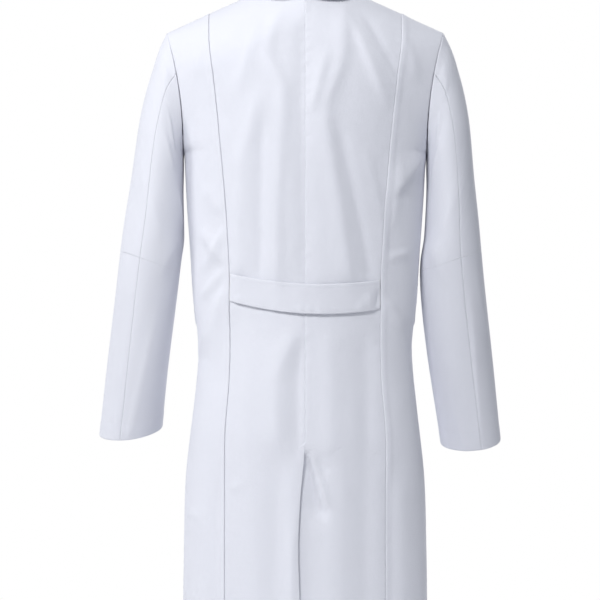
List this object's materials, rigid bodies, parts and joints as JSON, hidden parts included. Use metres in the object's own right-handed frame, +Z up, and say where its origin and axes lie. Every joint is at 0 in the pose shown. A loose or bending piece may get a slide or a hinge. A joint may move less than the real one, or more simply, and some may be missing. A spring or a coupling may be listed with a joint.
{
  "type": "lab coat",
  "caption": "Long-sleeved knee-length lab coat with a notched collar, buttoned front, patch pockets, a sewn-in half belt and a back vent.",
  "frame": {"origin": "middle of the neck opening between the two shoulder seams", "axes": "+Z up along the body, the wearer's front faces -Y, the wearer's left is +X"},
  "size_m": [0.6482, 0.2557, 1.086],
  "materials": {
    "coat_cloth": "white twill, pressed",
    "coat_cloth_inside": "white twill, wrong side",
    "interlining": "bonded non-woven",
    "tape": "woven tape",
    "thread": "sewing thread",
    "button": "white, polished"
  },
  "bodies": {
    "root": {"back_neck_facing": "coat_cloth_inside", "chest_pocket": "coat_cloth", "collar_interlining": "interlining", "collar_stand": "coat_cloth", "half_belt": "coat_cloth", "half_belt_interlining": "interlining", "half_belt_lining": "coat_cloth_inside", "left_back_panel": "coat_cloth", "left_chest": "coat_cloth", "left_lapel": "coat_cloth", "left_side_back": "coat_cloth", "left_side_front": "coat_cloth", "right_back_panel": "coat_cloth", "right_chest": "coat_cloth", "right_lapel": "coat_cloth", "right_side_back": "coat_cloth", "right_side_front": "coat_cloth", "top_collar": "coat_cloth", "under_collar": "coat_cloth_inside"},
    "left_front": {"left_front_facing": "coat_cloth_inside", "left_front_panel": "coat_cloth", "left_hip_pocket": "coat_cloth"},
    "right_front": {"button_threads": "thread", "front_buttons": "button", "right_front_facing": "coat_cloth_inside", "right_front_panel": "coat_cloth", "right_hip_pocket": "coat_cloth"},
    "left_vent": {"left_vent_facing": "coat_cloth_inside", "left_vent_flap": "coat_cloth"},
    "right_vent": {"right_vent_flap": "coat_cloth"},
    "left_sleeve_upper": {"left_top_sleeve_upper": "coat_cloth", "left_under_sleeve_upper": "coat_cloth"},
    "left_sleeve_lower": {"left_sleeve_hem": "coat_cloth_inside", "left_top_sleeve_lower": "coat_cloth", "left_under_sleeve_lower": "coat_cloth"},
    "right_sleeve_upper": {"right_top_sleeve_upper": "coat_cloth", "right_under_sleeve_upper": "coat_cloth"},
    "right_sleeve_lower": {"right_sleeve_hem": "coat_cloth_inside", "right_top_sleeve_lower": "coat_cloth", "right_under_sleeve_lower": "coat_cloth"},
    "hanging_loop": {"hanger_loop": "tape"}
  },
  "joints": [
    {"name": "left_front_open", "type": "hinge", "parent": "root", "child": "left_front", "pos_m": [0.15, -0.084, -0.7], "axis": [0, 0, 1], "range_deg": [0, 80]},
    {"name": "right_front_open", "type": "hinge", "parent": "root", "child": "right_front", "pos_m": [-0.15, -0.084, -0.7], "axis": [0, 0, -1], "range_deg": [0, 36]},
    {"name": "left_vent_open", "type": "hinge", "parent": "root", "child": "left_vent", "pos_m": [0.123, 0.084, -0.87], "axis": [0, 0, -1], "range_deg": [0, 35]},
    {"name": "right_vent_open", "type": "hinge", "parent": "root", "child": "right_vent", "pos_m": [-0.123, 0.084, -0.87], "axis": [0, 0, 1], "range_deg": [0, 17.5]},
    {"name": "left_shoulder_raise", "type": "hinge", "parent": "root", "child": "left_sleeve_upper", "pos_m": [0.217, 0, -0.0588], "axis": [0, -1, 0], "range_deg": [0, 60]},
    {"name": "right_shoulder_raise", "type": "hinge", "parent": "root", "child": "right_sleeve_upper", "pos_m": [-0.217, 0, -0.0588], "axis": [0, 1, 0], "range_deg": [0, 60]},
    {"name": "left_elbow_bend", "type": "hinge", "parent": "left_sleeve_upper", "child": "left_sleeve_lower", "pos_m": [0.2447, -0.07, -0.416], "axis": [-1, 0, 0], "range_deg": [0, 90]},
    {"name": "right_elbow_bend", "type": "hinge", "parent": "right_sleeve_upper", "child": "right_sleeve_lower", "pos_m": [-0.2302, -0.07, -0.416], "axis": [-1, 0, 0], "range_deg": [0, 90]},
    {"name": "hanger_loop_flip", "type": "hinge", "parent": "root", "child": "hanging_loop", "pos_m": [0, 0.064, -0.012], "axis": [-1, 0, 0], "range_deg": [0, 150]}
  ],
  "couplings": [
    {"joint": "right_front_open", "follows": "left_front_open", "ratio": 0.45},
    {"joint": "right_vent_open", "follows": "left_vent_open", "ratio": 0.5}
  ]
}
